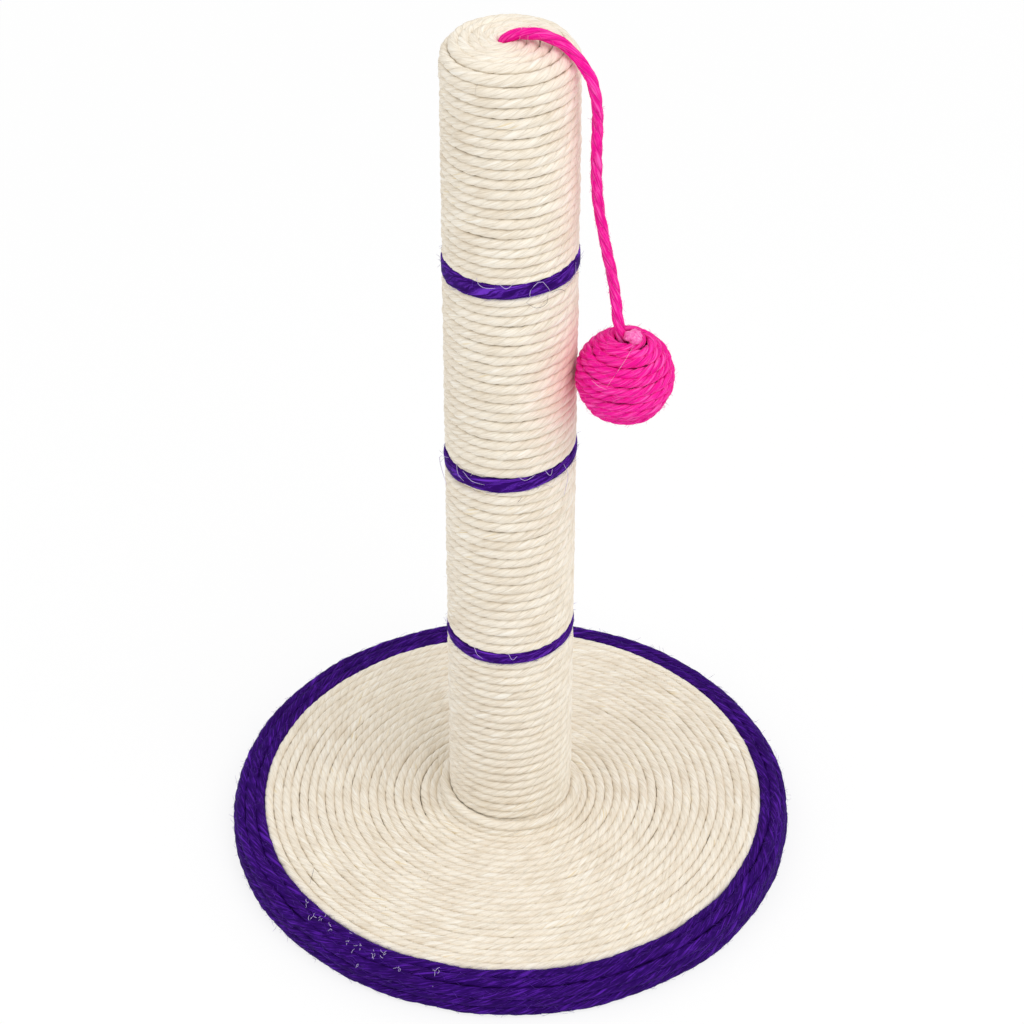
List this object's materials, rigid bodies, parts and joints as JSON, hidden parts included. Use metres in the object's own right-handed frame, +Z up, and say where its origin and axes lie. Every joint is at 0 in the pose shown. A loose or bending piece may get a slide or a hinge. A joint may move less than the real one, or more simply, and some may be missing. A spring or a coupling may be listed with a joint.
{
  "type": "cat scratching post",
  "caption": "Rope-wound scratching post on a round rope-covered base, with a rope ball hanging on a cord from the top.",
  "frame": {"origin": "on the floor, at the middle of the underside of the round base", "axes": "+Z up along the post, +X to the side on which the ball hangs, -Y to the viewer"},
  "size_m": [0.2992, 0.2992, 0.4817],
  "materials": {
    "cream_sisal": "bleached twisted sisal rope, fibrous",
    "purple_sisal": "dyed twisted sisal rope, deep violet",
    "pink_sisal": "dyed twisted sisal cord, bright pink",
    "felt_liner": "needled grey felt",
    "fibreboard": "raw fibreboard",
    "cardboard_tube": "spiral-wound kraft board",
    "pine": "turned bare pine",
    "zinc_steel": "bright zinc plate",
    "dried_glue": "dried glue with pink fibres in it"
  },
  "bodies": {
    "post": {"base_liner": "felt_liner", "base_board": "fibreboard", "base_rope": "cream_sisal", "rim_rope": "purple_sisal", "base_washer": "zinc_steel", "base_bolt": "zinc_steel", "tee_nut": "zinc_steel", "lower_plug": "pine", "post_tube": "cardboard_tube", "upper_plug": "pine", "lower_nail_1": "zinc_steel", "lower_nail_2": "zinc_steel", "lower_nail_3": "zinc_steel", "upper_nail_1": "zinc_steel", "upper_nail_2": "zinc_steel", "upper_nail_3": "zinc_steel", "post_rope_1": "cream_sisal", "post_rope_2": "cream_sisal", "post_rope_3": "cream_sisal", "post_rope_4": "cream_sisal", "band_rope_1": "purple_sisal", "band_rope_2": "purple_sisal", "band_rope_3": "purple_sisal", "top_rope": "cream_sisal"},
    "toy_lead": {"toy_knot": "pink_sisal", "toy_cord_top": "pink_sisal"},
    "toy_drop": {"toy_cord_drop": "pink_sisal"},
    "toy_tail": {"toy_cord_tail": "pink_sisal"},
    "toy_ball": {"ball_core": "pine", "ball_rope": "pink_sisal", "ball_dab": "dried_glue"}
  },
  "joints": [
    {"name": "toy_orbit", "type": "hinge", "parent": "post", "child": "toy_lead", "pos_m": [0, 0, 0.4745], "axis": [0, 0, 1], "continuous": true},
    {"name": "toy_swing", "type": "hinge", "parent": "toy_lead", "child": "toy_drop", "pos_m": [0.04075, -0.01659, 0.45596], "axis": [-0.1994, -0.9799, 0], "range_deg": [0, 90]},
    {"name": "toy_side_swing", "type": "hinge", "parent": "toy_drop", "child": "toy_tail", "pos_m": [0.03952, -0.01324, 0.437], "axis": [0.9799, -0.1994, 0], "range_deg": [-45, 45]},
    {"name": "ball_spin", "type": "hinge", "parent": "toy_tail", "child": "toy_ball", "pos_m": [0.05488, -0.01646, 0.3025], "axis": [0, 0, 1], "range_deg": [-180, 180]}
  ]
}
